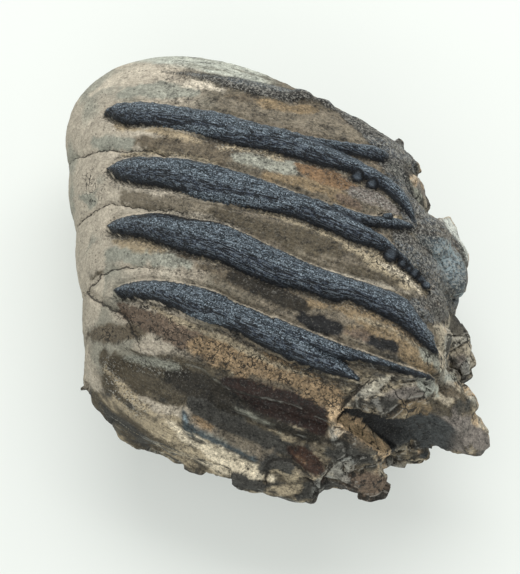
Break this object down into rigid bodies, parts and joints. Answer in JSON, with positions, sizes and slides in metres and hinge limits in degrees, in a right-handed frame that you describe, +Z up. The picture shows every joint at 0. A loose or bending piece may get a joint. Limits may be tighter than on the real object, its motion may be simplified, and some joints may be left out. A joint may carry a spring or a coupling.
{
  "type": "fossil mammoth molar",
  "caption": "Fossil mammoth molar lying on its broad side, with raised enamel plates, a rounded crown end and a broken root end.",
  "frame": {"origin": "under the middle of the box, on the surface that the tooth rests on", "axes": "+Z up, out of the broad side that shows the enamel ridges; -X towards the worn crown, +X towards the broken root; the plates follow one another along Y, with the split face at -Y"},
  "size_m": [0.1498, 0.1626, 0.0802],
  "materials": {
    "fossil_tooth": "brown-grey fossil cementum with blue-black enamel ridges, satin"
  },
  "bodies": {
    "root": {"molar": "fossil_tooth"}
  },
  "joints": []
}
